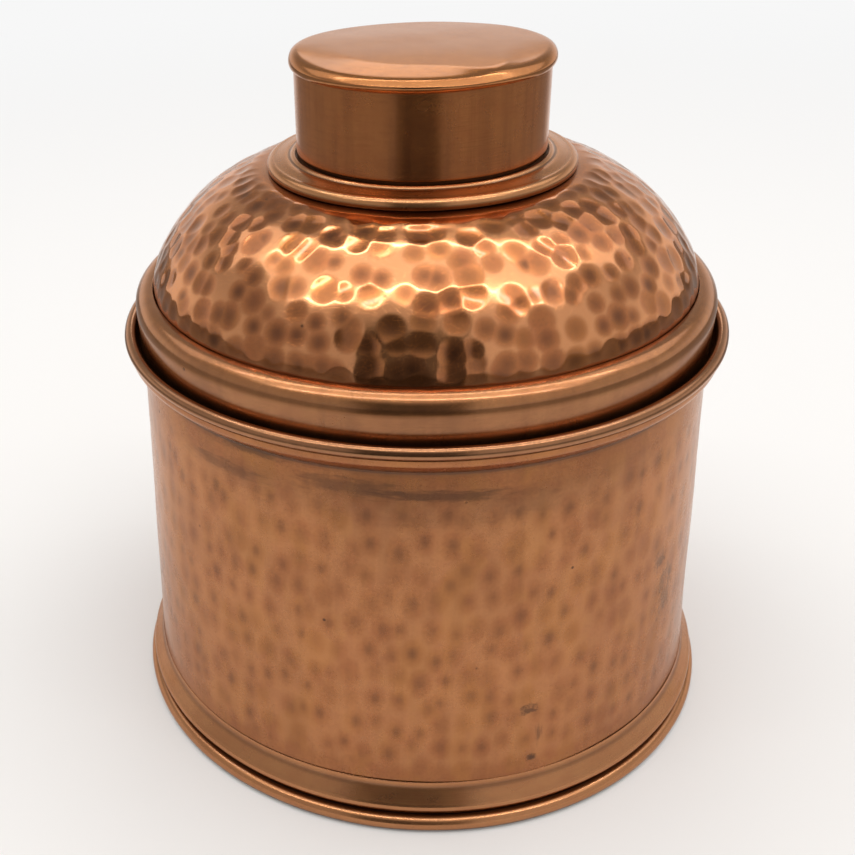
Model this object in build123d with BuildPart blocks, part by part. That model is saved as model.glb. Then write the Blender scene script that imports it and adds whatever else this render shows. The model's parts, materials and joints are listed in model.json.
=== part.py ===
from build123d import *
import os

# A round copper jar with a lift-off domed lid, and a lift-off cap on the neck of the lid.
# Millimetres, +Z up, origin at the centre of the plane that the jar stands on.
# Every piece is a body of revolution about Z. Points are given as (radius, height).

# Stock
sheet = 0.8                        # copper sheet of the jar and the lid
cap_sheet = 0.7                    # copper sheet of the cap sleeve
solder_gap = 0.02                  # room for solder between joined pieces
edge_round = 0.25                  # softening of edges that a hand meets

# Jar wall: straight, slightly tapered, its top flared out into a gallery for the lid
wall_foot_radius = 65.37           # outside radius of the wall, carried down to the table
wall_taper = 0.0373                # radius lost for each mm of height
wall_bottom = 0.9
gallery_bottom = 85.6              # where the wall turns outwards
gallery_bottom_bend = 0.8
gallery_shoulder = (65.2, 88.3)
gallery_shoulder_bend = 2.0
gallery_lip = (65.3, 90.7)

# Wires
rim_wire_radius = 1.3
rim_wire_centre = (64.7, 91.1)
foot_wire_radius = 1.8
foot_wire_centre = (67.15, 1.65)   # lower than the wire's radius: its underside is filed flat

# Foot moulding: a groove, a rounded ridge, a slope and a small cove that runs up to the wall
foot_bottom = 0.9
foot_groove_bottom = (66.6, 0.9)
foot_groove_top = (66.6, 4.1)
foot_ridge_low = (67.35, 4.75)
foot_ridge_middle = (67.85, 5.8)
foot_ridge_high = (67.3, 6.95)
foot_slope_top = (65.5, 9.4)
foot_cove_middle = (65.24, 10.2)
foot_cove_end = (65.15, 11.0)
foot_top = 11.0

# Floor: a flat disc with a turned-down edge, set up inside the wall
floor_height = 7.8
floor_flange_bottom = 3.8
floor_corner_radius = 1.6

# Lid band: the face that stands in the gallery, rolled over at the top into a round shoulder
band_bottom = (62.44, 86.95)
band_corner = (63.03, 101.2)
band_corner_radius = 3.4
shoulder_hole = (58.8, 101.2)

# Lid skirt: the ring that plugs the mouth of the jar, turned in at its lower edge
skirt_radius = 61.1
skirt_top = 99.8
skirt_bottom = 76.0
skirt_turn_in = 0.6
skirt_turn_in_height = 2.0

# Lid dome, along its outside from its edge inside the band's shoulder up to the neck
dome_edge = (58.75, 98.6)
dome_root = (58.75, 103.8)
dome_root_bend = 12.0
dome_haunch = (49.9, 118.2)
dome_haunch_bend = 34.0
dome_plain_zone = (36.4, 124.2)    # from here in to the neck the dome is a plain shallow cone
dome_plain_bend = 0.0
dome_neck = (25.0, 125.5)

# Neck tube and its collar
neck_radius = 25.2
neck_hole_radius = 25.24            # hole in the dome that the tube is soldered into
neck_bottom = 123.0
neck_top = 142.0
collar_inner_radius = 25.22
collar_foot = (32.2, 124.75)
collar_bulge = (32.45, 125.6)
collar_shoulder = (30.8, 126.95)
collar_slope_end = (28.6, 127.35)
collar_lip_outer = (27.5, 127.4)
collar_lip_top = (26.8, 127.9)
collar_lip_inner = (26.0, 127.5)

# Cap
cap_sleeve_radius = 26.07
cap_sleeve_bottom = 128.3
cap_sleeve_top = 147.35
cap_seat_height = 147.4            # the inside corner of the cap top, where the sleeve ends
cap_crown_height = 148.9
cap_crown_radius = 760.0           # the top is a very shallow dome
cap_crown_angle = 1.893
cap_top_thickness = 0.8
cap_edge_radius = 2.0
cap_lower_edge_radius = 1.7
cap_lower_edge_angle = 57.0


def wall_radius(height):
    """Outside radius of the straight part of the jar wall at a height."""
    return wall_foot_radius - wall_taper * height


def floor_radius(height):
    """Outside radius of the floor's turned-down edge, soldered inside the wall, at a height."""
    return wall_radius(height) - sheet - solder_gap


# The wall and its gallery are one sheet: the outside line, thickened inwards.
# Its top edge is hollowed to seat the rim wire.
with BuildPart() as body_wall:
    with BuildSketch(Plane.XZ):
        with BuildLine():
            FilletPolyline(
                (wall_radius(wall_bottom), wall_bottom),
                (wall_radius(gallery_bottom), gallery_bottom),
                gallery_shoulder,
                gallery_lip,
                radius=(gallery_bottom_bend, gallery_shoulder_bend),
            )
            offset(amount=sheet, side=Side.LEFT)
        make_face()
    revolve(axis=Axis.Z)
    with BuildSketch(Plane.XZ):
        with Locations(rim_wire_centre):
            Circle(rim_wire_radius + solder_gap)
    revolve(axis=Axis.Z, mode=Mode.SUBTRACT)
body_wall.part.label = "body_wall"

# The rim wire is a round wire bent into a ring on top of the gallery.
with BuildPart() as rim_wire:
    with BuildSketch(Plane.XZ):
        with Locations(rim_wire_centre):
            Circle(rim_wire_radius)
    revolve(axis=Axis.Z)
rim_wire.part.label = "rim_wire"

# The foot wire is the ring that the jar stands on, filed flat underneath.
with BuildPart() as foot_wire:
    with BuildSketch(Plane.XZ):
        with Locations(foot_wire_centre):
            Circle(foot_wire_radius)
    revolve(axis=Axis.Z)
    split(bisect_by=Plane.XY)
foot_wire.part.label = "foot_wire"

# The foot moulding hugs the foot of the wall, and its underside seats the foot wire.
with BuildPart() as foot_ring:
    with BuildSketch(Plane.XZ):
        with BuildLine():
            Polyline(
                foot_groove_bottom,
                (wall_radius(foot_bottom) + solder_gap, foot_bottom),
                (wall_radius(foot_top) + solder_gap, foot_top),
                foot_cove_end,
            )
            ThreePointArc(foot_cove_end, foot_cove_middle, foot_slope_top)
            Line(foot_slope_top, foot_ridge_high)
            ThreePointArc(foot_ridge_high, foot_ridge_middle, foot_ridge_low)
            Polyline(foot_ridge_low, foot_groove_top, foot_groove_bottom)
        make_face()
    revolve(axis=Axis.Z)
    with BuildSketch(Plane.XZ):
        with Locations(foot_wire_centre):
            Circle(foot_wire_radius + solder_gap)
    revolve(axis=Axis.Z, mode=Mode.SUBTRACT)
foot_ring.part.label = "foot_ring"

# The floor is a shallow pan, open side down, whose edge is soldered inside the wall.
with BuildPart() as floor_disc:
    with BuildSketch(Plane.XZ):
        with BuildLine():
            FilletPolyline(
                (0, floor_height),
                (floor_radius(floor_height), floor_height),
                (floor_radius(floor_flange_bottom), floor_flange_bottom),
                radius=floor_corner_radius,
            )
            offset(amount=sheet, side=Side.RIGHT)
        make_face()
    revolve(axis=Axis.Z)
floor_disc.part.label = "floor_disc"

# The lid band is one sheet: a tapering face that rolls over, through a round shoulder, to the dome.
with BuildPart() as lid_band:
    with BuildSketch(Plane.XZ):
        with BuildLine():
            FilletPolyline(
                band_bottom,
                band_corner,
                shoulder_hole,
                radius=band_corner_radius,
            )
            offset(amount=sheet, side=Side.LEFT)
        make_face()
    revolve(axis=Axis.Z)
lid_band.part.label = "lid_band"

# The lid skirt hangs from the underside of the band's shoulder.
with BuildPart() as lid_skirt:
    with BuildSketch(Plane.XZ):
        with BuildLine():
            Polyline(
                (skirt_radius - skirt_turn_in, skirt_bottom),
                (skirt_radius, skirt_bottom + skirt_turn_in_height),
                (skirt_radius, skirt_top),
            )
            offset(amount=sheet, side=Side.LEFT)
        make_face()
    revolve(axis=Axis.Z)
lid_skirt.part.label = "lid_skirt"

# The dome is one sheet, from its edge inside the shoulder up to the hole for the neck tube.
with BuildPart() as lid_dome:
    with BuildSketch(Plane.XZ):
        with BuildLine():
            FilletPolyline(
                dome_edge,
                dome_root,
                dome_haunch,
                dome_plain_zone,
                dome_neck,
                radius=(dome_root_bend, dome_haunch_bend, dome_plain_bend),
            )
            offset(amount=sheet, side=Side.LEFT)
        make_face()
    revolve(axis=Axis.Z)
    Hole(neck_hole_radius)
lid_dome.part.label = "lid_dome"

# The neck tube stands in the hole of the dome, open at both ends.
with BuildPart() as neck_tube:
    with BuildSketch(Plane.XY.offset(neck_bottom)):
        Circle(neck_radius)
        Circle(neck_radius - sheet, mode=Mode.SUBTRACT)
    extrude(amount=neck_top - neck_bottom)
    top_edges = neck_tube.edges().group_by(Axis.Z)[-1]
    fillet(top_edges, radius=edge_round)
neck_tube.part.label = "neck_tube"

# The collar is a cushion-shaped ring round the neck, ending in a thin raised lip.
with BuildPart() as neck_collar:
    with BuildSketch(Plane.XZ):
        with BuildLine():
            ThreePointArc(collar_foot, collar_bulge, collar_shoulder)
            Polyline(collar_shoulder, collar_slope_end, collar_lip_outer)
            ThreePointArc(collar_lip_outer, collar_lip_top, collar_lip_inner)
            Polyline(
                collar_lip_inner,
                (collar_inner_radius, collar_lip_inner[1]),
                (collar_inner_radius, collar_foot[1]),
                collar_foot,
            )
        make_face()
    revolve(axis=Axis.Z)
    add(lid_dome.part, mode=Mode.SUBTRACT)
neck_collar.part.label = "neck_collar"

# The cap sleeve slides over the neck tube.
with BuildPart() as cap_sleeve:
    with BuildSketch(Plane.XY.offset(cap_sleeve_bottom)):
        Circle(cap_sleeve_radius)
        Circle(cap_sleeve_radius - cap_sheet, mode=Mode.SUBTRACT)
    extrude(amount=cap_sleeve_top - cap_sleeve_bottom)
    bottom_edges = cap_sleeve.edges().group_by(Axis.Z)[0]
    fillet(bottom_edges, radius=edge_round)
cap_sleeve.part.label = "cap_sleeve"

# The cap top is a pressed disc whose thick rounded edge closes in on the sleeve.
cap_mouth_radius = cap_sleeve_radius + solder_gap
with BuildPart() as cap_top:
    with BuildSketch(Plane.XZ):
        with BuildLine():
            crown = JernArc(
                start=(0, cap_crown_height),
                tangent=(1, 0),
                radius=cap_crown_radius,
                arc_size=-cap_crown_angle,
            )
            upper_edge = JernArc(
                start=crown @ 1,
                tangent=crown % 1,
                radius=cap_edge_radius,
                arc_size=cap_crown_angle - 90,
            )
            lower_edge = JernArc(
                start=upper_edge @ 1,
                tangent=upper_edge % 1,
                radius=cap_lower_edge_radius,
                arc_size=-cap_lower_edge_angle,
            )
            Polyline(
                lower_edge @ 1,
                (cap_mouth_radius, (lower_edge @ 1).Y),
                (cap_mouth_radius, cap_seat_height),
                (cap_sleeve_radius - cap_sheet, cap_seat_height),
                (0, cap_crown_height - cap_top_thickness),
                (0, cap_crown_height),
            )
        make_face()
    revolve(axis=Axis.Z)
cap_top.part.label = "cap_top"

os.makedirs("parts", exist_ok=True)
export_step(body_wall.part, "parts/body_wall.step")
export_step(rim_wire.part, "parts/rim_wire.step")
export_step(foot_wire.part, "parts/foot_wire.step")
export_step(foot_ring.part, "parts/foot_ring.step")
export_step(floor_disc.part, "parts/floor_disc.step")
export_step(lid_band.part, "parts/lid_band.step")
export_step(lid_skirt.part, "parts/lid_skirt.step")
export_step(lid_dome.part, "parts/lid_dome.step")
export_step(neck_tube.part, "parts/neck_tube.step")
export_step(neck_collar.part, "parts/neck_collar.step")
export_step(cap_sleeve.part, "parts/cap_sleeve.step")
export_step(cap_top.part, "parts/cap_top.step")
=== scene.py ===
"""The looks of a round hammered-copper jar with a domed lid and a cap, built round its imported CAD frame.

Every piece is turned again, finely, from the outline of its own CAD node, so its size and place are the
frame's. The hammered sheets then get real dents, and every piece gets procedural copper.
"""
import json
import math

import bmesh
import bpy
import numpy as np
from mathutils import Matrix, Vector


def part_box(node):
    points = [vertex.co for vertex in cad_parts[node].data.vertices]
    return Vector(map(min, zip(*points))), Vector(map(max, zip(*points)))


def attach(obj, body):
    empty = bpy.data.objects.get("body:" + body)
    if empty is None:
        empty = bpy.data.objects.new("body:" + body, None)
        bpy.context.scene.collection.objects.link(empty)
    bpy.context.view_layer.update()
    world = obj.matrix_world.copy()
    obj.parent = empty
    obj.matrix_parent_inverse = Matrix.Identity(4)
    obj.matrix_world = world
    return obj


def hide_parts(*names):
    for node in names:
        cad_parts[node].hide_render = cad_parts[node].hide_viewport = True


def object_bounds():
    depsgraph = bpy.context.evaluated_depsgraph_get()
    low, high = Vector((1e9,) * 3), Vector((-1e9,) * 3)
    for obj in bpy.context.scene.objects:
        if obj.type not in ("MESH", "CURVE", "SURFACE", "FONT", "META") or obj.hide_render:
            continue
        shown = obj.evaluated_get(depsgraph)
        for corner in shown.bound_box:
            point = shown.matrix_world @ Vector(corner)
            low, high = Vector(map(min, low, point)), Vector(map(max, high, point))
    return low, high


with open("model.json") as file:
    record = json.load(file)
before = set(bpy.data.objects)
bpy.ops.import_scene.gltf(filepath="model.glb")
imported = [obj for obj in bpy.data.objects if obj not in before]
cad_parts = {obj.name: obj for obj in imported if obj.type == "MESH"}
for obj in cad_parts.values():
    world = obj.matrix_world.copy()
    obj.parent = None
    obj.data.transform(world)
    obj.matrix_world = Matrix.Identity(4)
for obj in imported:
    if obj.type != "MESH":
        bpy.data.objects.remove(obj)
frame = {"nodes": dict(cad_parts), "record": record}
cad_low, cad_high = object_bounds()

MM = 0.001
TURN = 2 * math.pi


# ---------------------------------------------------------------- outlines from the frame

WELD = 1e-6             # vertices nearer than this are one
ON_SEAM = 1e-7          # a vertex this near to the cutting plane is on it
ON_AXIS = 1e-5          # a radius below this is on the axis
SHARP_TURN = math.radians(33)       # a corner that turns more stays a corner
LONG_RATIO = 2.2        # a side this much longer than its neighbour is straight
FINE_STEP = 0.05 * MM   # spacing of the fine outline that rings are picked from
RING_TURN = math.radians(9)     # the most that an outline bends between two rings
CLOSEST_RINGS = 0.09 * MM
STRAIGHT = 1.0          # radians per metre: a bend below this counts as this
BEND_BLUR = 5           # samples
CORNER_SOFTNESS = 0.12 * MM


def seam_points(mesh):
    """Where a turned mesh crosses the half plane y = 0, x > 0: its points as (radius, height), and the
    neighbours of each."""
    cut = bmesh.new()
    cut.from_mesh(mesh)
    bmesh.ops.remove_doubles(cut, verts=cut.verts, dist=WELD)
    whole = cut.verts[:] + cut.edges[:] + cut.faces[:]
    found = bmesh.ops.bisect_plane(cut, geom=whole, dist=ON_SEAM, plane_co=(0, 0, 0), plane_no=(0, 1, 0))
    cut.verts.index_update()
    points, joined = {}, {}
    for edge in (e for e in found["geom_cut"] if isinstance(e, bmesh.types.BMEdge)):
        if max(v.co.x for v in edge.verts) < ON_AXIS:
            continue
        for vertex, other in (edge.verts, reversed(edge.verts)):
            points[vertex.index] = (max(vertex.co.x, 0.0), vertex.co.z)
            joined.setdefault(vertex.index, set()).add(other.index)
    cut.free()
    return points, joined


def cad_outline(node):
    """The outline of a turned CAD node, anticlockwise, and True if it closes clear of the axis."""
    points, joined = seam_points(frame["nodes"][node].data)
    ends = [point for point, others in joined.items() if len(others) == 1]
    walk = [ends[0] if ends else next(iter(joined))]
    while len(walk) < len(joined):
        walk.append(next(point for point in joined[walk[-1]] if point not in walk[-2:]))
    outline = np.array([points[point] for point in walk])
    following = np.roll(outline, -1, axis=0)
    area = np.sum(outline[:, 0] * following[:, 1] - following[:, 0] * outline[:, 1])
    if area < 0:
        outline = outline[::-1]
    return outline, not ends


def side_directions(outline):
    """The length and direction of each side of a closed outline."""
    sides = np.roll(outline, -1, axis=0) - outline
    lengths = np.linalg.norm(sides, axis=1)
    return lengths, sides / lengths[:, None]


def curve_through(outline):
    """Replaces a closed outline's sides by curves where it bends gently, and samples it finely."""
    lengths, ahead = side_directions(outline)
    behind = np.roll(ahead, 1, axis=0)
    before = np.roll(lengths, 1)
    turn = np.arccos(np.clip(np.sum(ahead * behind, axis=1), -1, 1))
    smooth = lengths[:, None] * behind + before[:, None] * ahead
    smooth /= np.linalg.norm(smooth, axis=1)[:, None]
    smooth[before > LONG_RATIO * lengths] = behind[before > LONG_RATIO * lengths]
    smooth[lengths > LONG_RATIO * before] = ahead[lengths > LONG_RATIO * before]
    leaving, arriving = smooth.copy(), smooth.copy()
    leaving[turn > SHARP_TURN] = ahead[turn > SHARP_TURN]
    arriving[turn > SHARP_TURN] = behind[turn > SHARP_TURN]
    pieces = []
    for i, length in enumerate(lengths):
        j = (i + 1) % len(outline)
        t = np.arange(0, 1, min(0.5, FINE_STEP / length))[:, None]
        pieces.append(
            (2 * t**3 - 3 * t**2 + 1) * outline[i]
            + (t**3 - 2 * t**2 + t) * length * leaving[i]
            + (3 * t**2 - 2 * t**3) * outline[j]
            + (t**3 - t**2) * length * arriving[j]
        )
    return np.vstack(pieces)


def resample(points, step):
    """A closed line sampled at an even step."""
    closed = np.vstack([points, points[:1]])
    along = np.r_[0, np.cumsum(np.linalg.norm(np.diff(closed, axis=0), axis=1))]
    at = np.linspace(0, along[-1], int(along[-1] / step), endpoint=False)
    return np.c_[np.interp(at, along, closed[:, 0]), np.interp(at, along, closed[:, 1])]


def blur_round(values, width):
    """A Gaussian blur along a closed line; width is in samples."""
    reach = int(3 * width) + 1
    weights = np.exp(-0.5 * (np.arange(-reach, reach + 1) / width) ** 2)
    weights /= weights.sum()
    padded = np.concatenate([values[-reach:], values, values[:reach]])
    if values.ndim == 1:
        return np.convolve(padded, weights, mode="valid")
    return np.c_[tuple(np.convolve(column, weights, mode="valid") for column in padded.T)]


def fine_outline(node, softness):
    """A node's outline as a fine closed line with its corners worn round. softness is in metres.
    A piece that reaches the axis gives a line that is mirrored across it."""
    outline, closed = cad_outline(node)
    if not closed:
        outline = np.vstack([outline, (outline * (-1, 1))[::-1][1:-1]])
    line = resample(curve_through(outline), FINE_STEP)
    return blur_round(line, softness / FINE_STEP), closed


def normals_of(line):
    """Outward normals of a closed, anticlockwise line."""
    along = np.roll(line, -1, axis=0) - np.roll(line, 1, axis=0)
    along /= np.linalg.norm(along, axis=1)[:, None]
    return np.c_[along[:, 1], -along[:, 0]]


def pick_rings(line, closed, spacing):
    """Picks rings from a fine line, closer where it bends. spacing(line, normals) is the widest spacing.
    Returns a row for each ring: radius, height, the two parts of its normal, and its bend in radians per
    metre, which is + where the line is convex."""
    normals = normals_of(line)
    before, after = np.roll(normals, 1, axis=0), np.roll(normals, -1, axis=0)
    turn = before[:, 0] * after[:, 1] - before[:, 1] * after[:, 0]
    bend = blur_round(turn / (2 * FINE_STEP), BEND_BLUR)
    gap = np.maximum(RING_TURN / np.maximum(np.abs(bend), STRAIGHT), CLOSEST_RINGS)
    gap = 1 / blur_round(1 / np.minimum(gap, spacing(line, normals)), BEND_BLUR)
    rows = np.c_[line, normals, bend, gap]
    if closed:
        rows = np.vstack([rows, rows[:1]])
    else:
        right = line[:, 0] >= 0
        start = int(np.flatnonzero(right & ~np.roll(right, 1))[0])
        rows = np.roll(rows, -start, axis=0)[: right.sum()]
        rows[0, 0] = rows[-1, 0] = 0.0
    count = np.r_[0, np.cumsum(FINE_STEP / rows[:-1, 5])]
    wanted = np.linspace(0, count[-1], math.ceil(count[-1]), endpoint=not closed)
    return np.c_[tuple(np.interp(wanted, count, column) for column in rows[:, :5].T)]


# ---------------------------------------------------------------- turning a piece

WORN_BEND = 900.0       # radians per metre: an edge with this convex bend is fully worn bright
CORNER_GRIME_AND_SHADE_BEND = 700.0      # and a corner with this concave bend is fully darkened, by grime and painted shade
RIPPLES = 14            # plane waves in a spun sheet's ripple
RIPPLE_RANGE = (0.5, 1.5)       # how many of them fit into the ripple's wavelength


def smoothstep(low, high, value):
    """Runs smoothly from 0 to 1 as value goes from low to high."""
    t = np.clip((value - low) / (high - low), 0, 1)
    return t * t * (3 - 2 * t)


class Turning:
    """A piece turned round the axis. push is how far each vertex moves out along its normal;
    marks are named values from 0 to 1 that its material reads."""

    def __init__(self, node, segments, spacing, softness=CORNER_SOFTNESS):
        line, self.closed = fine_outline(node, softness)
        rows = pick_rings(line, self.closed, spacing)
        angles = np.arange(segments) * TURN / segments
        across = np.stack([np.cos(angles), np.sin(angles)], axis=-1)[None]
        self.node = node
        self.radius, self.height = rows[:, :1], rows[:, 1:2]
        self.points = self.spin(across, rows[:, 0], rows[:, 1])
        self.normals = self.spin(across, rows[:, 2], rows[:, 3])
        self.push = np.zeros(self.points.shape[:2])
        level = np.ones((1, segments))
        self.marks = {
            "worn": np.clip(rows[:, 4:5] / WORN_BEND, 0, 1) * level,
            "grime": np.clip(-rows[:, 4:5] / CORNER_GRIME_AND_SHADE_BEND, 0, 1) * level,
        }

    @staticmethod
    def spin(across, outward, upward):
        """Turns vectors in the half plane round the axis, into one row of vectors for each ring."""
        flat = across * outward[:, None, None]
        up = np.broadcast_to(upward[:, None, None], flat.shape[:2] + (1,))
        return np.concatenate([flat, up], axis=2)

    def outward(self, heart):
        """True for each ring that faces away from the place at this height on the axis."""
        return np.sum(self.normals[:, 0] * (self.points[:, 0] - (0, 0, heart)), axis=1) > 0

    def ripple(self, height, wavelength, seed):
        """The slow unevenness of sheet spun by hand."""
        rng = np.random.default_rng(seed)
        total = np.zeros(self.points.shape[:2])
        for _ in range(RIPPLES):
            wave = rng.normal(size=3)
            wave *= TURN / wavelength / np.linalg.norm(wave) * rng.uniform(*RIPPLE_RANGE)
            total += np.sin(self.points @ wave + rng.uniform(0, TURN))
        self.push += height * total / math.sqrt(RIPPLES / 2)

    def mesh(self, name):
        """A closed mesh of quads; a ring on the axis becomes one vertex."""
        placed = self.points + self.normals * self.push[..., None]
        rings, segments = self.push.shape
        index = np.arange(rings * segments).reshape(rings, segments)
        keep = np.ones(rings * segments, bool)
        for ring in () if self.closed else (0, rings - 1):
            index[ring] = index[ring, 0]
            keep[ring * segments + 1 : (ring + 1) * segments] = False
            placed[ring, 0] = (0, 0, placed[ring, 0, 2])
        index = (np.cumsum(keep) - 1)[index]
        upper = np.roll(index, -1, axis=0) if self.closed else index[1:]
        lower = index if self.closed else index[:-1]
        corners = np.stack([lower, np.roll(lower, -1, 1), np.roll(upper, -1, 1), upper], axis=-1)
        faces = [tuple(dict.fromkeys(quad)) for quad in corners.reshape(-1, 4).tolist()]
        mesh = bpy.data.meshes.new(name)
        mesh.from_pydata(placed.reshape(-1, 3)[keep], [], faces)
        mesh.shade_smooth()
        for mark, values in self.marks.items():
            attribute = mesh.attributes.new(mark, "FLOAT", "POINT")
            attribute.data.foreach_set("value", values.ravel()[keep].astype(np.float32))
        return mesh

    def piece(self, material):
        """The finished piece, standing for its CAD node and riding on that node's body."""
        name = f"{self.node}_copper"
        made = bpy.data.objects.new(name, self.mesh(name))
        bpy.context.scene.collection.objects.link(made)
        made.data.materials.append(material)
        bodies = frame["record"]["behaviour"]["bodies"]
        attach(made, next(body for body, nodes in bodies.items() if self.node in nodes))
        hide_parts(self.node)
        return made


def evenly(spacing):
    """The same widest ring spacing everywhere."""
    return lambda line, normals: np.full(len(line), spacing)


# ---------------------------------------------------------------- hammering

DENT_TONES = (0.15, 1.0)        # from the palest to the darkest dent
DENT_SHADE = 1.3                # a higher power draws the dark of a dent in towards its middle


class Hammer:
    """One hammer and the way it was used. Lengths are in metres.
    along and around are the distances between blows and jitter their scatter; face is the range of the
    roundness of the hammer's face, as a radius, and reach the range of a dent's radius; stretch is how much
    taller than wide a dent is; crest is how soft the edges between dents are, polish how deep the bright
    crests reach and heart the share of a dent's radius that is dark. The dark of a dent is patina and
    painted shade, and the bright of a crest is burnish and painted glint."""

    def __init__(self, along, around, jitter, face, reach, stretch, crest, polish, heart, seed):
        self.along, self.around, self.jitter = along, around, jitter
        self.face, self.reach, self.stretch = face, reach, stretch
        self.crest, self.polish, self.heart = crest, polish, heart
        self.rng = np.random.default_rng(seed)

    def strike(self, line):
        """Places blows in rows round a line of (radius, height) points."""
        along = np.r_[0, np.cumsum(np.linalg.norm(np.diff(line, axis=0), axis=1))]
        centres = []
        rows = round(along[-1] / self.along)
        for row in range(rows + 1):
            at = along[-1] * row / rows
            radius = np.interp(at, along, line[:, 0])
            blows = round(TURN * radius / self.around)
            angle = TURN * (np.arange(blows) + self.rng.uniform()) / blows
            angle += self.rng.normal(0, self.jitter, blows) / radius
            at = np.clip(at + self.rng.normal(0, self.jitter, blows), 0, along[-1])
            radius, height = np.interp(at, along, line[:, 0]), np.interp(at, along, line[:, 1])
            centres.append(np.c_[radius * np.cos(angle), radius * np.sin(angle), height])
        self.centres = np.vstack(centres)
        count = len(self.centres)
        self.faces = self.rng.uniform(*self.face, count)
        self.reaches = self.rng.uniform(*self.reach, count)
        self.tones = self.rng.uniform(*DENT_TONES, count)

    def dents(self, points):
        """For each point: how far the surface is below the crests (as a minus), how much of a crest it is,
        which is burnish and painted glint, and how dark it is as a hollow, which is patina and painted
        shade."""
        scale = np.array([1, 1, 1 / self.stretch])
        squared = np.sum(((points[:, None] - self.centres[None]) * scale) ** 2, axis=2)
        heights = (squared - self.reaches**2) / (2 * self.faces)
        lowest = np.minimum(heights.min(axis=1, keepdims=True), 0)
        weights = np.exp((lowest - heights) / self.crest)
        total = weights.sum(axis=1) + np.exp(lowest[:, 0] / self.crest)
        height = lowest[:, 0] - self.crest * np.log(total)
        crest = np.exp(height / self.polish)
        hollow = np.clip(1 - squared / (self.heart * self.reaches) ** 2, 0, 1) ** DENT_SHADE
        dark = np.sum(weights * hollow * self.tones, axis=1) / total
        return height, crest, dark


def hammered(turning, hammer, struck, mask, heart, inside_share):
    """Strikes a turned sheet. struck is the line of (radius, height) that the blows follow; mask is 0 to 1
    for each ring; heart is a height on the axis that the outer skin faces away from; inside_share is how
    much of the dents' relief shows on the inner skin."""
    hammer.strike(struck)
    for mark in ("ridge", "dent"):
        turning.marks[mark] = np.zeros(turning.push.shape)
    outward = turning.outward(heart)
    turning.marks["inside"] = np.repeat((~outward)[:, None], turning.push.shape[1], axis=1).astype(float)
    low = np.zeros(turning.push.shape)
    rings = np.flatnonzero(mask > 0)
    for ring in rings:
        height, crest, dark = hammer.dents(turning.points[ring])
        low[ring] = height
        turning.marks["ridge"][ring] = crest * mask[ring]
        turning.marks["dent"][ring] = dark * mask[ring]
    level = low[rings].mean()
    share = np.where(outward, 1.0, -inside_share) * mask
    turning.push += (low - level) * share[:, None]


# ---------------------------------------------------------------- adding nodes

class Shader:
    """Adds nodes to a material's or a world's tree in few words."""

    def __init__(self, owner):
        owner.use_nodes = True
        self.tree = owner.node_tree
        self.tree.nodes.clear()

    def add(self, kind, *values, settings=None, **named):
        """Adds a node and fills its sockets, in order or by name, with values or other nodes' outputs."""
        node = self.tree.nodes.new("ShaderNode" + kind)
        for key, value in (settings or {}).items():
            setattr(node, key, value)
        sockets = list(zip(node.inputs, values))
        sockets += [(node.inputs[key.replace("_", " ")], value) for key, value in named.items()]
        for socket, value in sockets:
            if isinstance(value, bpy.types.NodeSocket):
                self.tree.links.new(value, socket)
            else:
                socket.default_value = value
        return node

    def math(self, operation, *values):
        return self.add("Math", *values, settings={"operation": operation}).outputs[0]

    def plus(self, a, b):
        return self.math("ADD", a, b)

    def minus(self, a, b):
        return self.math("SUBTRACT", a, b)

    def times(self, a, b):
        return self.math("MULTIPLY", a, b)

    def length(self, x, y):
        """The length of a flat vector."""
        return self.math("SQRT", self.plus(self.times(x, x), self.times(y, y)))

    def vector(self, operation, *values):
        outputs = self.add("VectorMath", *values, settings={"operation": operation}).outputs
        return outputs["Value"] if operation == "LENGTH" else outputs[0]

    def turned(self, vector, axis, angle):
        return self.add("VectorRotate", vector, (0, 0, 0), axis, angle).outputs[0]

    def mix(self, amount, a, b):
        """The colour a, and more of b as amount goes from 0 to 1."""
        node = self.add("Mix", amount, settings={"data_type": "RGBA"})
        for socket, value in ((node.inputs[6], a), (node.inputs[7], b)):
            if isinstance(value, bpy.types.NodeSocket):
                self.tree.links.new(value, socket)
            else:
                socket.default_value = (*value, 1)
        return node.outputs[2]

    def fade(self, value, start, end, low=0.0, high=1.0):
        """Runs smoothly from low to high as value goes from start to end."""
        settings = {"interpolation_type": "SMOOTHSTEP"}
        return self.add("MapRange", value, start, end, low, high, settings=settings).outputs[0]

    def noise(self, vector, scale, detail=3.0, rough=0.55, w=None):
        """Noise from 0 to 1 that changes scale times per unit of the vector; w is a fourth coordinate."""
        fourth = {} if w is None else {"W": w}
        return self.add(
            "TexNoise", Vector=vector, Scale=scale, Detail=detail, Roughness=rough, **fourth,
            settings={"noise_dimensions": "4D" if fourth else "3D"},
        ).outputs[0]

    def mark(self, name):
        """A mark that the mesh carries; 0 where it has none."""
        return self.add("Attribute", settings={"attribute_name": name}).outputs["Fac"]


# ---------------------------------------------------------------- copper

# The crests' colour: burnish with painted glint.
COPPER_BURNISH_AND_GLINT = (0.76, 0.39, 0.20)
COPPER_LIGHT = (0.49, 0.205, 0.078)
COPPER_GOLD = (0.47, 0.205, 0.058)
COPPER_MID = (0.39, 0.153, 0.055)
COPPER_RED = (0.37, 0.122, 0.048)
COPPER_BROWN = (0.16, 0.057, 0.019)
EDGE_TINT = (0.86, 0.62, 0.47)      # how copper colours what it reflects at a glance
# The colour of dirt and stains, and of the painted shade in closed-in places and concave corners.
GRIME_AND_SHADE = (0.045, 0.018, 0.008)
DULL_INSIDE = (0.26, 0.115, 0.052)

# How fine each texture is: changes per metre.
BLOTCHES, PATCHES, FLECKS, RUBBINGS, STREAKS = 55.0, 170.0, 1400.0, 120.0, 330.0

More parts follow.
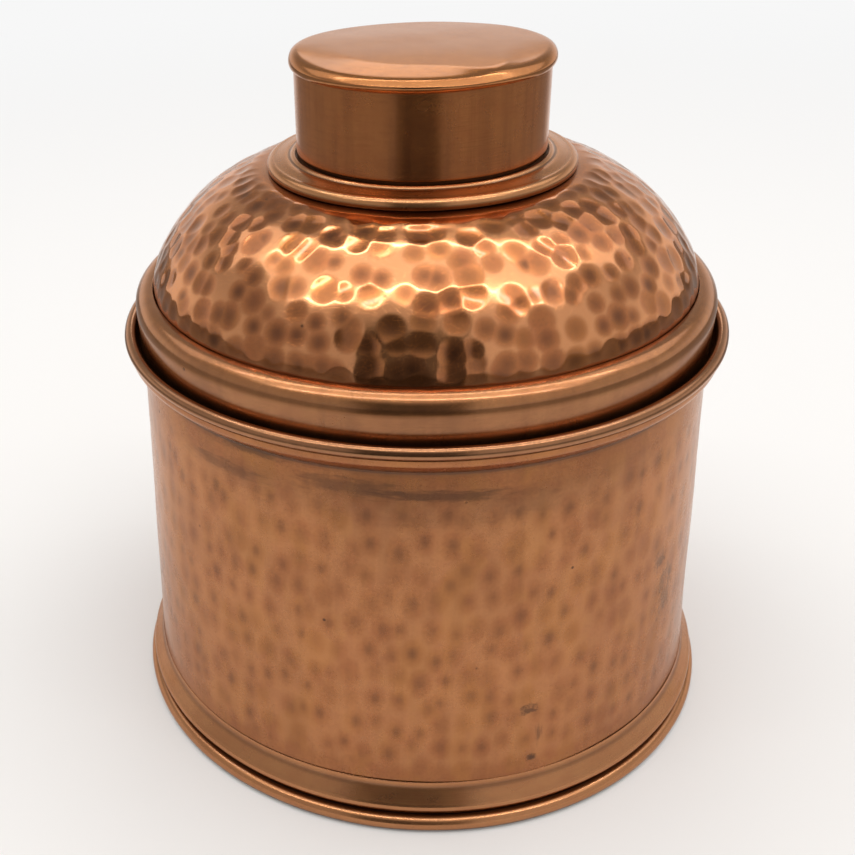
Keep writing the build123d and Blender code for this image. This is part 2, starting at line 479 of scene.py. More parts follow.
# The levels of its noise between which each texture comes in.
BLOTCH_LEVELS, PATCH_LEVELS, FLECK_LEVELS = (0.36, 0.66), (0.38, 0.68), (0.35, 0.8)
RUBBING_LEVELS, STREAK_LEVELS, BRUSH_LEVELS = (0.47, 0.62), (0.4, 0.68), (0.45, 0.8)

# How much of its colour each thing gives.
RED_SHARE, FLECK_SHARE, BRUSH_SHARE, WORN_SHARE, INSIDE_SHARE = 0.75, 0.22, 0.3, 0.35, 0.65

# Closed-in places darken with painted shade, concave corners with grime and painted shade, and pits with
# dirt.
CREASE_REACH = 2.6 * MM             # how near the walls of a closed-in place are
CLOSED, OPEN = 0.26, 0.84           # how much of its surroundings such a place sees
CREASE_SHADE, CORNER_SHADE_AND_GRIME, PIT_DIRT = 0.8, 0.7, 0.7

# What each thing adds to the roughness.
BLOTCH_ROUGH, FLECK_ROUGH, DIRT_AND_SHADE_ROUGH, INSIDE_ROUGH, WORN_SMOOTH = 0.07, 0.10, 0.25, 0.12, 0.05

# Fine relief, as shares of its height.
RELIEF_HEIGHT, RELIEF_STRENGTH = 0.02 * MM, 0.35
FLECK_LIFT, HAIR_DEPTH, PIT_DEPTH, BRUSH_LIFT = 0.25, 0.5, 2.0, 1.6

BRUSHED_SHEEN = 0.55                # how far brushing draws a highlight out
ACROSS_BRUSHING = 0.25              # of a turn
LACQUER_INDEX = 1.5


def circles(shader, place, lines, length, detail=2.0):
    """Noise drawn out round the axis. lines is its changes per metre across, and length is how many times
    it changes in a turn."""
    x, y, height = shader.add("SeparateXYZ", place).outputs
    radius = shader.length(x, y)
    cosine, sine = shader.math("DIVIDE", x, radius), shader.math("DIVIDE", y, radius)
    across = shader.add(
        "CombineXYZ", shader.times(radius, lines), shader.times(height, lines), shader.times(cosine, length)
    ).outputs[0]
    return shader.noise(across, 1.0, detail, w=shader.times(sine, length))


def scratches(shader, place, stretch, angle, scale, width):
    """Hairlines: the contour of a drawn-out noise. 1 on a scratch."""
    drawn = shader.vector("MULTIPLY", shader.turned(place, (0.3, 0.5, 0.8), angle), stretch)
    level = shader.noise(drawn, scale, detail=1.0)
    away = shader.math("ABSOLUTE", shader.minus(level, 0.5))
    return shader.fade(away, 0.0, width, 1.0, 0.0)


def pits(shader, place, scale, share, size):
    """Small round pits, in a share of the cells of a Voronoi pattern. 1 in a pit."""
    cells = shader.add("TexVoronoi", Vector=place, Scale=scale).outputs
    chance = shader.add("SeparateXYZ", cells["Color"]).outputs[0]
    chosen = shader.fade(chance, 1 - share, 1 - share + 0.02)
    return shader.times(chosen, shader.fade(cells["Distance"], size * 0.4, size, 1.0, 0.0))


class Copper:
    """Lacquered old copper. Its qualities are these, unless a material states its own."""

    light, mid = COPPER_LIGHT, COPPER_MID       # its two main colours
    tint = (1, 1, 1)        # what its whole colour is multiplied by
    roughness = 0.24
    lacquer, haze = 0.6, 0.13       # the share and the roughness of its lacquer
    mottle = 0.5            # how blotchy it is
    grain = 1.0             # how grainy it is
    brushed = 0.0           # how much it is brushed in circles
    dents, ridges = 0.0, 0.0        # how much its hammer marks darken it, with patina and painted shade, and brighten it, with burnish and painted glint
    gold = 0.0              # how much it is rubbed golden
    streaks = 0.0           # how much it is streaked upright
    stained = ()            # its stains

    def __init__(self, name, **qualities):
        vars(self).update(qualities)
        self.material = bpy.data.materials.new(name)
        self.shader = Shader(self.material)
        self.place = self.shader.add("TexCoord").outputs["Object"]
        self.worn, self.grime, self.inside = map(self.shader.mark, ("worn", "grime", "inside"))
        self.make_textures()
        self.make_dirt_and_shade()
        self.make_surface(self.dirtied_and_shaded(self.marked(self.metal())))

    def make_textures(self):
        """The textures that the colour, the roughness and the relief share."""
        shader, place = self.shader, self.place
        self.blotch = shader.fade(shader.noise(place, BLOTCHES, detail=4.0, rough=0.6), *BLOTCH_LEVELS)
        self.fleck = shader.noise(place, FLECKS, detail=3.0, rough=0.7)
        self.brushing = circles(shader, place, lines=3500.0, length=5.0)
        self.hairs = shader.math(
            "MAXIMUM",
            scratches(shader, place, stretch=(1, 9, 3), angle=0.7, scale=160.0, width=0.006),
            scratches(shader, place, stretch=(8, 1, 2), angle=2.1, scale=120.0, width=0.005),
        )
        self.pit = pits(shader, place, scale=330.0, share=0.05, size=0.16)

    def make_dirt_and_shade(self):
        shader = self.shader
        # Painted shade: ambient occlusion darkens closed-in places; concave corners add grime and painted
        # shade, pits real dirt.
        seen = shader.add("AmbientOcclusion", Distance=CREASE_REACH, settings={"samples": 6}).outputs["AO"]
        crease_shade = shader.times(shader.fade(seen, CLOSED, OPEN, 1.0, 0.0), CREASE_SHADE)
        dirt_and_shade = shader.math("MAXIMUM", crease_shade, shader.times(self.grime, CORNER_SHADE_AND_GRIME))
        self.dirt_and_shade = shader.math("MAXIMUM", dirt_and_shade, shader.times(self.pit, PIT_DIRT))

    def metal(self):
        """The metal's own colour: two coppers in blotches, with redder patches, brown flecks and gold."""
        shader, place = self.shader, self.place
        colour = shader.mix(shader.times(self.blotch, self.mottle), self.light, self.mid)
        patch = shader.fade(shader.noise(place, PATCHES, detail=5.0, rough=0.65), *PATCH_LEVELS)
        colour = shader.mix(shader.times(patch, self.mottle * RED_SHARE), colour, COPPER_RED)
        speck = shader.fade(self.fleck, *FLECK_LEVELS)
        colour = shader.mix(shader.times(speck, FLECK_SHARE * self.grain), colour, COPPER_BROWN)
        if self.gold:
            tall = shader.vector("MULTIPLY", place, (1, 1, 0.6))
            rubbed = shader.fade(shader.noise(tall, RUBBINGS), *RUBBING_LEVELS)
            colour = shader.mix(shader.times(rubbed, self.gold), colour, COPPER_GOLD)
        return colour

    def marked(self, colour):
        """Adds brushing, streaks, hammer marks (patina and painted shade in the dents, burnish and painted
        glint on the crests), stains and wear.
        """
        shader = self.shader
        if self.brushed:
            lines = shader.fade(self.brushing, *BRUSH_LEVELS, 0.0, BRUSH_SHARE * self.brushed)
            colour = shader.mix(lines, colour, COPPER_BROWN)
        if self.streaks:
            upright = shader.vector("MULTIPLY", self.place, (1, 1, 0.04))
            streak = shader.fade(shader.noise(upright, STREAKS, detail=4.0, rough=0.65), *STREAK_LEVELS)
            colour = shader.mix(shader.times(streak, self.streaks), colour, COPPER_BROWN)
        # Patina and painted shade darken the dents.
        if self.dents:
            colour = shader.mix(shader.times(shader.mark("dent"), self.dents), colour, COPPER_BROWN)
        # Burnish and painted glint brighten the crests.
        if self.ridges:
            colour = shader.mix(shader.times(shader.mark("ridge"), self.ridges), colour, COPPER_BURNISH_AND_GLINT)
        for stain in self.stained:
            colour = shader.mix(stain.mask(shader, self.place), colour, GRIME_AND_SHADE)
        return shader.mix(shader.times(self.worn, WORN_SHARE), colour, self.light)

    def dirtied_and_shaded(self, colour):
        """Adds dirt and painted shade, dulls the inside, and tints the whole."""
        colour = self.shader.mix(self.dirt_and_shade, colour, GRIME_AND_SHADE)
        colour = self.shader.mix(self.shader.times(self.inside, INSIDE_SHARE), colour, DULL_INSIDE)
        return self.shader.vector("MULTIPLY", colour, self.tint)

    def rough(self):
        shader = self.shader
        rough = shader.plus(self.roughness, shader.times(shader.minus(self.blotch, 0.5), BLOTCH_ROUGH))
        rough = shader.plus(rough, shader.times(shader.minus(self.fleck, 0.5), FLECK_ROUGH * self.grain))
        rough = shader.plus(rough, shader.times(self.dirt_and_shade, DIRT_AND_SHADE_ROUGH))
        rough = shader.plus(rough, shader.times(self.inside, INSIDE_ROUGH))
        return shader.minus(rough, shader.times(self.worn, WORN_SMOOTH))

    def relief(self):
        """Grain, hairlines, pits and brushing, as a bump."""
        shader = self.shader
        lift = shader.times(self.fleck, FLECK_LIFT * self.grain)
        lift = shader.minus(lift, shader.times(self.hairs, HAIR_DEPTH))
        lift = shader.minus(lift, shader.times(self.pit, PIT_DEPTH))
        if self.brushed:
            lift = shader.plus(lift, shader.times(self.brushing, BRUSH_LIFT * self.brushed))
        return shader.add("Bump", Strength=RELIEF_STRENGTH, Distance=RELIEF_HEIGHT, Height=lift).outputs[0]

    def make_surface(self, colour):
        shader = self.shader
        surface = shader.add(
            "BsdfPrincipled", Base_Color=colour, Metallic=1.0, Roughness=self.rough(), Normal=self.relief(),
            Coat_Weight=self.lacquer, Coat_Roughness=self.haze, Coat_IOR=LACQUER_INDEX,
            Specular_Tint=(*EDGE_TINT, 1),
        )
        if self.brushed:
            surface.inputs["Anisotropic"].default_value = BRUSHED_SHEEN * self.brushed
            surface.inputs["Anisotropic Rotation"].default_value = ACROSS_BRUSHING
            tangent = shader.add("Tangent", settings={"direction_type": "RADIAL", "axis": "Z"}).outputs[0]
            shader.tree.links.new(tangent, surface.inputs["Tangent"])
        shader.add("OutputMaterial", surface.outputs[0])


# ---------------------------------------------------------------- stains

STAIN_SCALE = 1.6           # changes of its ragged edge in the length of its reach
STAIN_SPREAD = 0.2          # how much further it reaches than stated, as a share
STAIN_CORE, STAIN_EDGE = 0.25, 0.95     # where it starts to fade and where it ends


def direction(azimuth, elevation):
    """A unit vector. Azimuth 0 is towards the camera's side, -Y, and 90 is +X; both in degrees."""
    a, e = math.radians(azimuth), math.radians(elevation)
    return Vector((math.sin(a) * math.cos(e), -math.cos(a) * math.cos(e), math.sin(e)))


class Stain:
    """A dark stain on the wall. azimuth is in degrees from the camera's side; height, reach round the wall
    and rise up it are in metres; strength is how dark it is and ragged how broken up."""

    def __init__(self, azimuth, height, reach, rise, strength, ragged):
        self.azimuth, self.height = azimuth, height
        self.reach, self.rise = reach, rise
        self.strength, self.ragged = strength, ragged

    def mask(self, shader, place):
        """strength in the heart of the stain, and 0 outside it."""
        heart = direction(self.azimuth, 0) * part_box("body_wall")[1].x
        heart.z = self.height
        away = shader.vector("SUBTRACT", place, tuple(heart))
        away = shader.turned(away, (0, 0, 1), -math.radians(self.azimuth))
        scaled = shader.vector("DIVIDE", away, (self.reach, self.reach, self.rise))
        torn = shader.times(shader.minus(shader.noise(scaled, STAIN_SCALE, 4.0, 0.7), 0.5), self.ragged)
        edge = shader.plus(shader.plus(shader.vector("LENGTH", scaled), -STAIN_SPREAD), torn)
        return shader.fade(edge, STAIN_CORE, STAIN_EDGE, self.strength, 0.0)


def wall_stains():
    """The jar's stains: rubbed streaks under the rim, corroded spots, and a patch at its right side."""
    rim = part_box("lid_band")[0].z
    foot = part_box("foot_ring")[1].z
    return (
        Stain(0, rim - 9 * MM, reach=60 * MM, rise=5.0 * MM, strength=0.16, ragged=1.5),
        Stain(3, rim - 6.6 * MM, reach=15 * MM, rise=1.5 * MM, strength=0.55, ragged=2.4),
        Stain(-13, rim - 5.4 * MM, reach=12 * MM, rise=2.3 * MM, strength=0.45, ragged=2.2),
        Stain(-32, rim - 2.0 * MM, reach=10 * MM, rise=1.6 * MM, strength=0.5, ragged=2.4),
        Stain(-38, rim - 8.0 * MM, reach=12 * MM, rise=1.8 * MM, strength=0.35, ragged=2.6),
        Stain(18, rim - 10.0 * MM, reach=9 * MM, rise=3.5 * MM, strength=0.2, ragged=2.4),
        Stain(21, foot + 16.6 * MM, reach=2.4 * MM, rise=1.7 * MM, strength=0.7, ragged=2.0),
        Stain(23.3, foot + 11 * MM, reach=1.1 * MM, rise=5.0 * MM, strength=0.5, ragged=2.2),
        Stain(22, foot + 3.6 * MM, reach=1.4 * MM, rise=1.1 * MM, strength=0.8, ragged=1.0),
        Stain(52.7, foot + 39.8 * MM, reach=3.2 * MM, rise=3.4 * MM, strength=0.5, ragged=3.0),
        Stain(56, foot + 29 * MM, reach=3.6 * MM, rise=8.0 * MM, strength=0.5, ragged=3.2),
    )


# ---------------------------------------------------------------- the coppers of the pieces

def dome_copper():
    """Dark in its dents with patina and painted shade, and bright on its crests with burnish and painted
    glint, under clear lacquer.
    """
    return Copper(
        "hammered_dome", mottle=0.5, roughness=0.16, haze=0.06, dents=0.95, ridges=0.9, gold=0.4,
        tint=(0.97, 0.82, 0.66),
    )


def wall_copper():
    """Duller than the dome, spotted dark in its dents with patina and painted shade, streaked and stained.
    """
    return Copper(
        "hammered_wall", mottle=0.6, roughness=0.28, haze=0.2, dents=0.72, ridges=0.25, gold=0.5,
        streaks=0.16, stained=wall_stains(), tint=(0.86, 0.77, 0.62),
    )


def plain_copper(name, tint, **qualities):
    """Sheet or wire with no hammer marks: smoother, and brushed in circles."""
    return Copper(name, grain=0.35, tint=tint, **qualities)


def inner_copper():
    """Unpolished copper inside the jar."""
    return Copper(
        "dull_copper", light=COPPER_MID, mid=COPPER_BROWN, mottle=0.6, roughness=0.38, lacquer=0.2
    )


def make_coppers():
    """The material of each piece."""
    spun = {"mottle": 0.4, "roughness": 0.24, "haze": 0.13, "brushed": 0.6, "streaks": 0.2}
    band = plain_copper("spun_copper", (0.92, 0.93, 0.90), **spun)
    # The rim wire's tint darkens its copper: painted shade.
    rim = plain_copper("wire_copper_painted_shade", (0.76, 0.81, 0.88), **spun)
    # The collar's tint lightens its copper: painted light.
    collar = plain_copper(
        "turned_copper_painted_light", (1.05, 1.15, 1.15), mottle=0.3, roughness=0.26, haze=0.15, brushed=0.5
    )
    sleeve = plain_copper(
        "brushed_copper", (1.2, 1.06, 0.82), mottle=0.4, roughness=0.25, haze=0.15, brushed=0.8, streaks=0.3
    )
    top = plain_copper(
        "pressed_copper", (0.88, 0.84, 0.66), mottle=0.4, roughness=0.22, lacquer=0.45, haze=0.12,
        brushed=0.4,
    )
    foot = plain_copper(
        "foot_copper", (0.98, 1.02, 1.02), mottle=0.45, roughness=0.26, haze=0.15, brushed=0.5
    )
    inner = inner_copper()
    coppers = {
        "lid_dome": dome_copper(), "body_wall": wall_copper(), "cap_top": top, "cap_sleeve": sleeve,
        "lid_band": band, "rim_wire": rim, "neck_collar": collar, "foot_ring": foot, "foot_wire": foot,
        "floor_disc": inner, "lid_skirt": inner, "neck_tube": inner,
    }
    return {node: copper.material for node, copper in coppers.items()}


# ---------------------------------------------------------------- the pieces

OUTER_MESH = 0.9 * MM
INNER_MESH = 2.4 * MM
DOME_MESH = 0.45 * MM
DOME_INNER_MESH = 0.75 * INNER_MESH
CAP_MESH = 0.8 * MM
WALL_SEGMENTS, DOME_SEGMENTS, PLAIN_SEGMENTS = 560, 760, 320
INSIDE_DENTS = 0.6          # share of the dents' relief that shows inside
DOME_HAMMERED_FROM = 0.2 * MM       # above the lid's band
DOME_HAMMERED_TO = 2.6 * MM         # out from the neck's collar
DOME_HEART = 20 * MM        # below the dome: every outer face of it points away from there
WALL_HAMMERED_FROM = 1.5 * MM       # above the foot's moulding
WALL_HAMMERED_TO = 4 * MM           # below the lid's band
DOME_STRUCK, WALL_STRUCK = 0.15, 0.05       # blows fall where the mask is above this
FRINGE = 2 * MM             # fine rings go on this far past the dents
PLAIN_WAVELENGTH = 22 * MM
FACES_IN = (0.3, 0.8)       # how squarely a dull inner skin faces the axis, where it starts and is full


def make_dome(material):
    """The lid's dome, hammered between the rolled groove at its root and the plain ring round the neck."""
    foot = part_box("lid_band")[1].z + DOME_HAMMERED_FROM
    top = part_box("neck_collar")[1].x + DOME_HAMMERED_TO

    def spacing(line, normals):
        hammered_side = (normals[:, 1] > 0) & (line[:, 0] > top - FRINGE) & (line[:, 1] > foot - FRINGE)
        return np.where(hammered_side, DOME_MESH, DOME_INNER_MESH)

    turning = Turning("lid_dome", DOME_SEGMENTS, spacing)
    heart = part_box("lid_dome")[0].z - DOME_HEART
    mask = smoothstep(foot - 1.0 * MM, foot + 1.5 * MM, turning.height[:, 0])
    mask *= smoothstep(top - 1.5 * MM, top + 2.5 * MM, turning.radius[:, 0])
    struck = np.c_[turning.radius, turning.height][turning.outward(heart) & (mask > DOME_STRUCK)]
    hammer = Hammer(
        along=4.5 * MM, around=4.8 * MM, jitter=1.0 * MM, face=(14 * MM, 26 * MM),
        reach=(2.0 * MM, 3.1 * MM), stretch=1.0, crest=0.016 * MM, polish=0.034 * MM, heart=0.74, seed=11,
    )
    hammered(turning, hammer, struck, mask, heart, INSIDE_DENTS)
    turning.ripple(height=0.035 * MM, wavelength=26 * MM, seed=3)
    return turning.piece(material)


def make_wall(material):
    """The jar's wall, with tall shallow dents from above the foot to below the rim."""
    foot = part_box("foot_ring")[1].z + WALL_HAMMERED_FROM
    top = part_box("lid_band")[0].z - WALL_HAMMERED_TO

    def spacing(line, normals):
        struck_height = (line[:, 1] > foot - 1.5 * FRINGE) & (line[:, 1] < top + FRINGE)
        return np.where((normals[:, 0] > 0.5) & struck_height, OUTER_MESH, INNER_MESH)

    turning = Turning("body_wall", WALL_SEGMENTS, spacing)
    mask = smoothstep(foot, foot + 4 * MM, turning.height[:, 0])
    mask *= 1 - smoothstep(top - 6 * MM, top, turning.height[:, 0])
    faces_out = turning.normals[:, 0, 0] > 0.5
    struck = np.c_[turning.radius, turning.height][faces_out & (mask > WALL_STRUCK)]
    hammer = Hammer(
        along=6.4 * MM, around=4.8 * MM, jitter=0.95 * MM, face=(36 * MM, 60 * MM),
        reach=(1.5 * MM, 2.4 * MM), stretch=1.5, crest=0.012 * MM, polish=0.011 * MM, heart=0.68, seed=5,
    )
    hammered(turning, hammer, struck, mask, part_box("body_wall")[1].z / 2, INSIDE_DENTS)
    turning.ripple(height=0.05 * MM, wavelength=30 * MM, seed=8)
    return turning.piece(material)


CAP_SAG = 0.25 * MM         # how far the front and back of the cap's top hang, and its sides stand
CAP_LEAN = 0.22 * MM        # how far its right side leans down
CAP_ROLL = 0.85 * MM        # how far its front margin is rolled down
ROLL_START = 0.66           # where the roll starts, as a share of the radius
ROLL_CURVE = 1.25           # a higher power keeps the roll nearer to the edge
ROLL_FRONT = (-0.1, 0.6)    # the roll comes in between these cosines of the angle from the front
FLAT_SPOT = math.radians(34)        # where, towards the right, the flat reaches out nearly to the lip
FLAT_SPOT_WIDTH = 0.3       # radians
FLAT_SPOT_REACH = 0.22      # how much further out the roll starts there, as a share of the radius
CAP_LIP = 0.8 * MM          # the lowest and the highest part of the cap's top, between which the warp grows
CAP_SOFTNESS = 0.25 * MM


def cap_warp(x, y):
    """How far the cap's worn top stands above a flat one at a place given as shares of its radius."""
    around = np.arctan2(x, -y)
    start = ROLL_START + FLAT_SPOT_REACH * np.exp(-(((around - FLAT_SPOT) / FLAT_SPOT_WIDTH) ** 2))
    out = np.clip((np.hypot(x, y) - start) / (1 - start), 0, 1)
    front = smoothstep(*ROLL_FRONT, np.cos(around))
    return CAP_SAG * (x**2 - y**2) - CAP_LEAN * x - CAP_ROLL * front * out**ROLL_CURVE


def make_cap_top(material):
    """The cap's top, pressed by hand and worn: no longer flat, and rolled down along its front margin."""
    turning = Turning("cap_top", PLAIN_SEGMENTS, evenly(CAP_MESH), CAP_SOFTNESS)
    low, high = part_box("cap_top")
    x, y, z = np.moveaxis(turning.points, 2, 0)
    lifted = smoothstep(low.z + CAP_LIP, high.z - CAP_LIP, z)
    turning.points[..., 2] += lifted * cap_warp(x / high.x, y / high.x)
    turning.ripple(height=0.03 * MM, wavelength=24 * MM, seed=27)
    turning.marks["inside"] = np.zeros(turning.push.shape)
    return turning.piece(material)


def make_plain(node, coppers, slot, widest, ripple, seed, segments=PLAIN_SEGMENTS, inner=True):
    """A piece with no hammer marks: spun sheet or drawn wire. widest is its widest ring spacing, and inner
    says that the skin that faces the axis is dull."""
    turning = Turning(node, segments, evenly(widest))
    turning.ripple(ripple, PLAIN_WAVELENGTH, seed)
    turning.marks["inside"] = np.zeros(turning.push.shape)
    if inner:
        inwards = -np.sum(turning.normals[..., :2] * turning.points[..., :2], axis=2)
        turning.marks["inside"] = smoothstep(*FACES_IN, inwards / np.maximum(turning.radius, ON_AXIS))
    return turning.piece(coppers[node])


def make_wires_and_mouldings(coppers):
    """The jar's wires and foot, and the lid's band and collar."""
    wire = {"slot": "plain_copper", "widest": 0.3 * MM, "ripple": 0.015 * MM, "inner": False}
    make_plain("rim_wire", coppers, **wire, seed=21, segments=WALL_SEGMENTS)
    make_plain("foot_ring", coppers, "plain_copper", widest=0.6 * MM, ripple=0.02 * MM, seed=22)
    make_plain("foot_wire", coppers, **wire, seed=23)
    make_plain("lid_band", coppers, "plain_copper", widest=0.8 * MM, ripple=0.025 * MM, seed=24)
    make_plain("neck_collar", coppers, **wire, seed=25)


def make_sheet_inside(coppers):
    """The pieces that show only when the jar is open."""
    sheet = {"slot": "inner_copper", "widest": 1.5 * MM}
    make_plain("floor_disc", coppers, **sheet, ripple=0.04 * MM, seed=28, inner=False)
    make_plain("lid_skirt", coppers, **sheet, ripple=0.02 * MM, seed=29)
    make_plain("neck_tube", coppers, "inner_copper", widest=1.2 * MM, ripple=0.015 * MM, seed=30)


def make_pieces():
    coppers = make_coppers()
    make_dome(coppers["lid_dome"])
    make_wall(coppers["body_wall"])
    make_wires_and_mouldings(coppers)
    make_plain("cap_sleeve", coppers, "brushed_copper", widest=1.2 * MM, ripple=0.02 * MM, seed=26)
    make_cap_top(coppers["cap_top"])
    make_sheet_inside(coppers)


# ---------------------------------------------------------------- the dark stripe in the reflections

STRIPE_DARK = (0.03, 0.025, 0.02)
STRIPE_AT = -0.03           # the room has a dark upright stripe ahead, this far aside: the sine of an angle
STRIPE_EDGE = (0.28, 0.37)  # how far to the stripe's sides its soft edge starts and ends, as sines
STRIPE_TOP = (0.62, 0.82)   # and how far up
STRIPE_STRENGTH = 0.85


def stripe(shader, sideways):
    """1 in the directions of the stripe. sideways is the direction's part along X."""
    off = shader.math("ABSOLUTE", shader.minus(sideways, STRIPE_AT))
    return shader.fade(off, *STRIPE_EDGE, 1.0, 0.0)


# ---------------------------------------------------------------- floor

FLOOR_SIZE = 6.0
FLOOR_WHITE = (0.90, 0.895, 0.89)
FLOOR_DARK = (0.02, 0.016, 0.012)
SHEET_REACH = 0.215         # the copper sees a white sheet up to here, and the dim room in front of it
SHEET_EDGE = 0.04           # how wide the sheet's soft edge is
ROOM_DARK, STRIPE_SHADE = 0.66, 0.94        # how dark the floor beyond is, in the room and by the stripe
BEHIND = (0.75, 0.95)       # between these sines of the angle towards the back the floor stays white
FAR_WHITE = (0.93, 0.93, 0.93)      # what the camera sees all round
FADE_START, FADE_END = 0.05, 0.9    # distances between which the floor runs out into that white
FADE_LEAST = 0.10


def floor_darkness(shader, x, y, distance):
    """How dark the copper sees the floor: a white sheet near the jar, with the dim room beyond in front."""
    beyond = shader.fade(distance, SHEET_REACH, SHEET_REACH + SHEET_EDGE)
    behind = shader.fade(shader.math("DIVIDE", y, distance), *BEHIND)
    narrow = shader.times(stripe(shader, shader.math("DIVIDE", x, distance)), shader.fade(y, 0, -0.1))
    dark = shader.times(beyond, shader.fade(narrow, 0, 1, ROOM_DARK, STRIPE_SHADE))
    return shader.times(dark, shader.minus(1.0, behind))


def floor_material():
    material = bpy.data.materials.new("pale_floor")
    shader = Shader(material)
    x, y, _ = shader.add("SeparateXYZ", shader.add("TexCoord").outputs["Object"]).outputs
    distance = shader.length(x, y)
    path = shader.add("LightPath").outputs
    dark = shader.times(floor_darkness(shader, x, y, distance), path["Is Glossy Ray"])
    far = shader.times(shader.fade(distance, FADE_START, FADE_END, FADE_LEAST, 1.0), path["Is Camera Ray"])
    colour = shader.mix(far, shader.mix(dark, FLOOR_WHITE, FLOOR_DARK), (0, 0, 0))
    surface = shader.add(
        "BsdfPrincipled", Base_Color=colour, Roughness=0.7, Specular_IOR_Level=0.0,
        Emission_Color=(*FAR_WHITE, 1), Emission_Strength=far,
    )
    shader.add("OutputMaterial", surface.outputs[0])
    return material


def make_floor():
    """A plain pale floor under the foot, which runs out into the white of the room."""
    half = FLOOR_SIZE / 2
    corners = [(-half, -half, 0), (half, -half, 0), (half, half, 0), (-half, half, 0)]
    mesh = bpy.data.meshes.new("floor")
    mesh.from_pydata(corners, [], [(0, 1, 2, 3)])
    mesh.materials.append(floor_material())
    floor = bpy.data.objects.new("floor", mesh)
    bpy.context.scene.collection.objects.link(floor)
    floor.location.z = cad_low.z


# ---------------------------------------------------------------- light

WHITE_LIGHT = (1.0, 0.985, 0.96)
TUBE_LIGHT = (1.0, 0.99, 0.97)
SIDE_LIGHT = (1.0, 0.97, 0.95)
BACK_LIGHT = (1.0, 0.97, 0.94)
ROOM_LEFT, ROOM_RIGHT = (0.56, 0.54, 0.52), (0.74, 0.72, 0.70)      # in front of the jar
ROOM_HORIZON, ROOM_ABOVE = (1.0, 0.98, 0.96), (0.40, 0.39, 0.38)    # behind it

# The room changes between these parts of a direction: from left to right, from its horizon to what is
# above, and from its front to its back. The stripe is only ahead.
SIDEWAYS, UPWARDS, BACKWARDS, AHEAD = (-0.5, 0.5), (0.15, 0.45), (-0.3, 0.7), (-0.2, 0.0)


def softbox(name, azimuth, elevation, distance, width, height, radiance, tint):
    """An area light that faces the jar. Angles are in degrees."""
    lamp = bpy.data.lights.new(name, "AREA")
    lamp.shape = "RECTANGLE"
    lamp.size, lamp.size_y = width, height
    lamp.energy = radiance * math.pi * width * height
    lamp.color = tint
    light = bpy.data.objects.new(name, lamp)
    towards = direction(azimuth, elevation)
    light.location = Vector((0, 0, cad_high.z / 2)) + towards * distance
    light.rotation_euler = towards.to_track_quat("Z", "Y").to_euler()
    light.visible_camera = False
    bpy.context.scene.collection.objects.link(light)


def make_lights():
    """A broad light overhead with a ceiling tube on each side of it, and weaker lights round the back."""
    softbox("overhead", 0, 85, distance=1.15, width=2.3, height=0.9, radiance=0.92, tint=WHITE_LIGHT)
    softbox("tube_near", 0, 69, distance=1.1, width=1.7, height=0.035, radiance=13.0, tint=TUBE_LIGHT)
    softbox("tube_far", 0, 103, distance=1.1, width=1.7, height=0.035, radiance=12.0, tint=TUBE_LIGHT)
    softbox("left", -120, 44, distance=1.15, width=0.5, height=0.5, radiance=0.8, tint=SIDE_LIGHT)
    softbox("right", 120, 44, distance=1.15, width=0.6, height=0.55, radiance=0.85, tint=SIDE_LIGHT)
    softbox("behind", 180, 30, distance=1.3, width=0.45, height=0.3, radiance=1.7, tint=BACK_LIGHT)


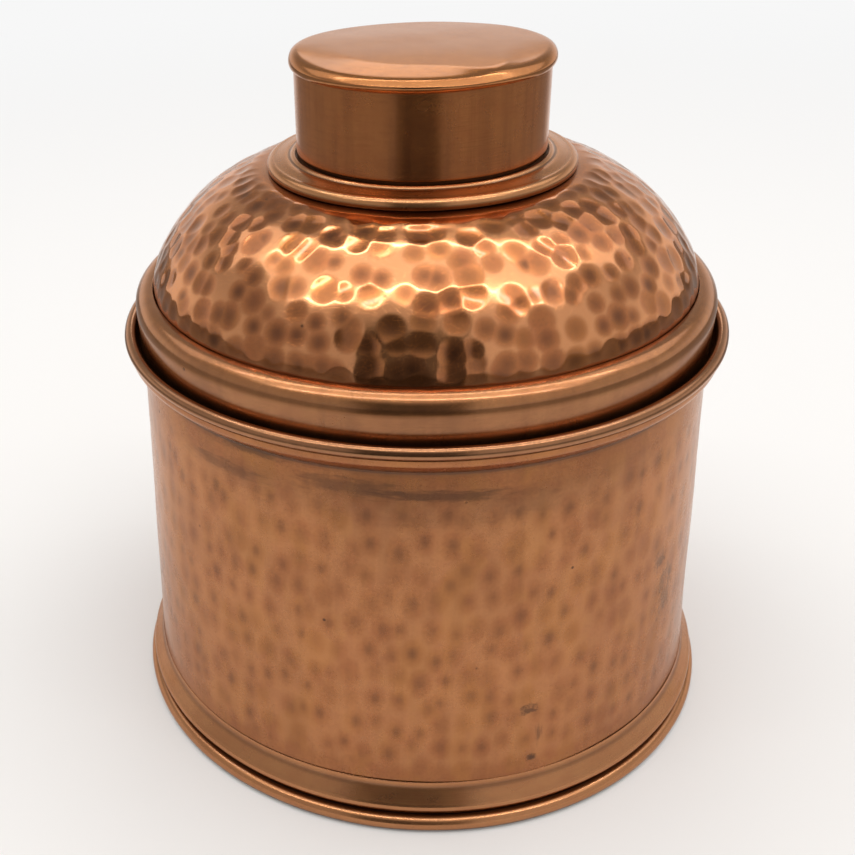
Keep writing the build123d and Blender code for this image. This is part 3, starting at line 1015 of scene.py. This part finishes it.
def make_surroundings():
    """The room as the copper sees it: dim in front, with the dark stripe, and light behind."""
    world = bpy.data.worlds.new("studio")
    bpy.context.scene.world = world
    shader = Shader(world)
    x, y, z = shader.add("SeparateXYZ", shader.add("TexCoord").outputs["Generated"]).outputs
    front = shader.mix(shader.fade(x, *SIDEWAYS), ROOM_LEFT, ROOM_RIGHT)
    back = shader.mix(shader.fade(z, *UPWARDS), ROOM_HORIZON, ROOM_ABOVE)
    room = shader.mix(shader.fade(y, *BACKWARDS), front, back)
    low = shader.fade(z, *STRIPE_TOP, 1.0, 0.0)
    ahead = shader.fade(y, *AHEAD, 1.0, 0.0)
    dark = shader.times(shader.times(stripe(shader, x), low), ahead)
    room = shader.mix(shader.times(dark, STRIPE_STRENGTH), room, STRIPE_DARK)
    seen = shader.add("LightPath").outputs["Is Camera Ray"]
    background = shader.add("Background", shader.mix(seen, room, FAR_WHITE), 1.0)
    shader.add("OutputWorld", background.outputs[0])


# ---------------------------------------------------------------- camera

CAMERA_PLACE = Vector((0, -0.24833, 0.19886))
CAMERA_TILT = math.radians(29.59)       # down
CAMERA_YAW = math.radians(-6.87)        # towards +X
CAMERA_ROLL = math.radians(-2.87)
CAMERA_LENS, SENSOR = 50.107, 36        # mm
CAMERA_SHIFT = (0.1566, 0.0139)
CLOSEST_SEEN = 0.01


def camera_axes():
    """The camera's right, up and backward directions."""
    level = math.cos(CAMERA_TILT)
    ahead = Vector((math.sin(CAMERA_YAW) * level, math.cos(CAMERA_YAW) * level, -math.sin(CAMERA_TILT)))
    right = ahead.cross((0, 0, 1)).normalized()
    up = right.cross(ahead)
    cosine, sine = math.cos(CAMERA_ROLL), math.sin(CAMERA_ROLL)
    return right * cosine + up * sine, up * cosine - right * sine, -ahead


def drive_shift(camera, channel, amount):
    """Shifts the lens only while the camera stands at its own place, so that any other view is centred."""
    driver = camera.data.driver_add(channel).driver
    driver.type = "SCRIPTED"
    tests = []
    for axis, place in zip("xyz", CAMERA_PLACE):
        variable = driver.variables.new()
        variable.name = axis
        variable.type = "TRANSFORMS"
        variable.targets[0].id = camera
        variable.targets[0].transform_type = f"LOC_{axis.upper()}"
        tests.append(f"abs({axis} - {place:.5f}) < 0.001")
    driver.expression = f"{amount} if {' and '.join(tests)} else 0.0"


def make_camera():
    lens = bpy.data.cameras.new("camera")
    lens.sensor_width = SENSOR
    lens.lens = CAMERA_LENS
    lens.clip_start = CLOSEST_SEEN
    camera = bpy.data.objects.new("camera", lens)
    bpy.context.scene.collection.objects.link(camera)
    camera.matrix_world = Matrix.Translation(CAMERA_PLACE) @ Matrix(camera_axes()).transposed().to_4x4()
    for channel, amount in zip(("shift_x", "shift_y"), CAMERA_SHIFT):
        drive_shift(camera, channel, amount)
    bpy.context.scene.camera = camera


make_pieces()
make_floor()
make_lights()
make_surroundings()
make_camera()
bpy.context.scene.view_settings.view_transform = "Standard"
